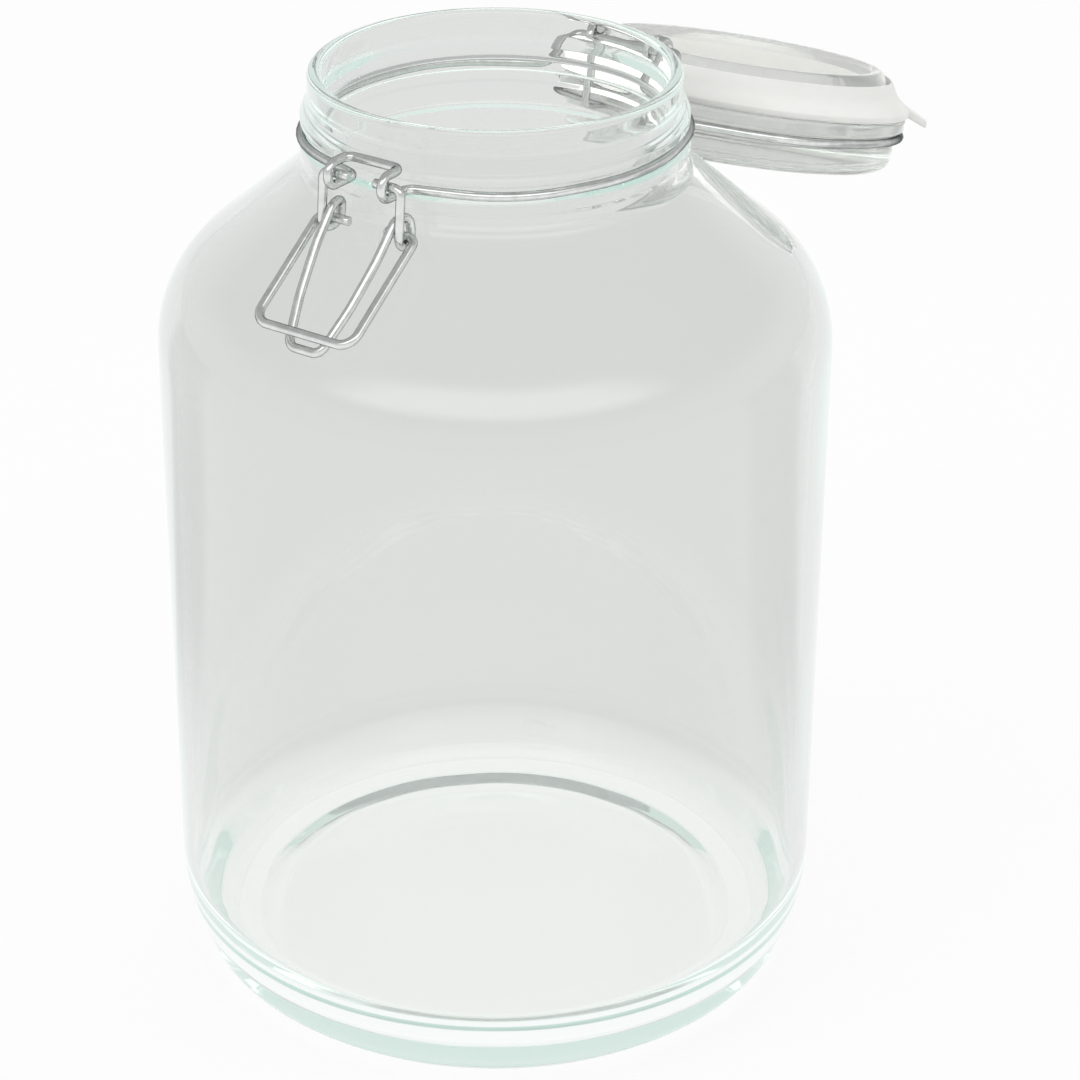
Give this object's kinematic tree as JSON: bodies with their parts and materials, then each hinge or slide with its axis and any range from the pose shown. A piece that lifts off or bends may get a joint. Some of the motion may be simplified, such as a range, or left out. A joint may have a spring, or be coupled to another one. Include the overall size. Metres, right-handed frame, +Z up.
{
  "type": "preserving jar",
  "caption": "Large round clear glass preserving jar with a hinged glass lid, white rubber gasket and a wire lever clip, standing open and empty.",
  "frame": {"origin": "centre of the base, on the surface that the jar stands on", "axes": "+Z up along the jar's axis, -Y towards the wire clip, +Y towards the lid's hinge, +X to the right seen from the clip"},
  "size_m": [0.182, 0.2641, 0.262],
  "materials": {
    "jar_glass": "clear, faintly green, polished",
    "lid_glass": "clear, faintly green, polished",
    "wire": "bright zinc-plated steel wire",
    "gasket": "matte white rubber"
  },
  "bodies": {
    "jar": {"jar_glass": "jar_glass", "neck_ring": "wire"},
    "lid": {"lid_glass": "lid_glass", "lid_ring": "wire", "gasket": "gasket"},
    "lever": {"lever": "wire"},
    "bail": {"bail": "wire"}
  },
  "joints": [
    {"name": "lid_hinge", "type": "hinge", "parent": "jar", "child": "lid", "pos_m": [0, 0.0647, 0.25], "axis": [1, 0, 0], "range_deg": [0, 195], "deforming": ["gasket"]},
    {"name": "lever_swing", "type": "hinge", "parent": "jar", "child": "lever", "pos_m": [0, -0.058, 0.24905], "axis": [-1, 0, 0], "range_deg": [0, 45]},
    {"name": "bail_swing", "type": "hinge", "parent": "lever", "child": "bail", "pos_m": [0, -0.0559, 0.2359], "axis": [-1, 0, 0], "range_deg": [0, 100]}
  ]
}
